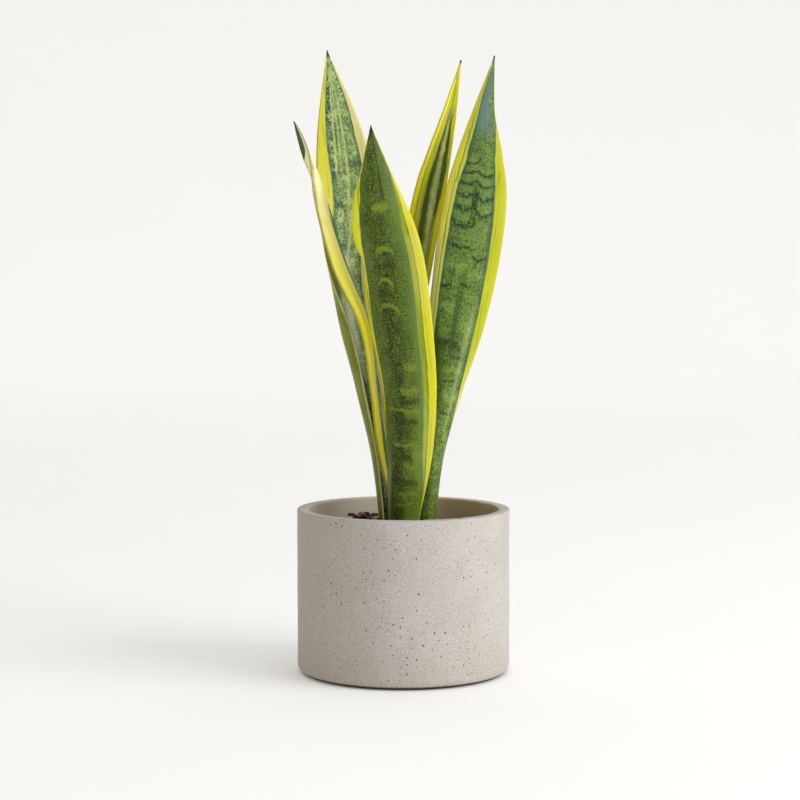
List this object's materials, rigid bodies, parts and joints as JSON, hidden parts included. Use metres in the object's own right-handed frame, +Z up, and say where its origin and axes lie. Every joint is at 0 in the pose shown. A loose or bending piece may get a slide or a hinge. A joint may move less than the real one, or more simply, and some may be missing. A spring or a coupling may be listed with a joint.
{
  "type": "potted snake plant",
  "caption": "Upright snake plant with stiff variegated sword leaves, growing from soil in a plain round concrete pot; stands on a flat base as indoor decoration.",
  "frame": {"origin": "centre of the pot's flat underside, on the surface it stands on", "axes": "+Z up along the pot's axis; -Y is the front, the side the front leaf is on; +X is to the right seen from the front"},
  "size_m": [0.1517, 0.15, 0.4401],
  "materials": {
    "pot_concrete": "cast light-grey concrete, matt, with fine speckle and small air-bubble holes",
    "soil": null,
    "rhizome": "pale orange-brown underground stem",
    "leaf_green": "waxy fleshy leaf, green with darker cross bands and yellow margins; rubber stands in for leaf flesh, which has about the density of water",
    "bark": "rough reddish-brown bark chips"
  },
  "bodies": {
    "root": {"pot": "pot_concrete", "potting_soil": "soil", "rhizome": "rhizome", "leaf_front_centre": "leaf_green", "leaf_right_tall": "leaf_green", "leaf_back_right_narrow": "leaf_green", "leaf_back_left_tall": "leaf_green", "leaf_left_edge_on": "leaf_green", "bark_chip_1": "bark", "bark_chip_2": "bark", "bark_chip_3": "bark", "bark_chip_4": "bark", "bark_chip_5": "bark"}
  },
  "joints": []
}
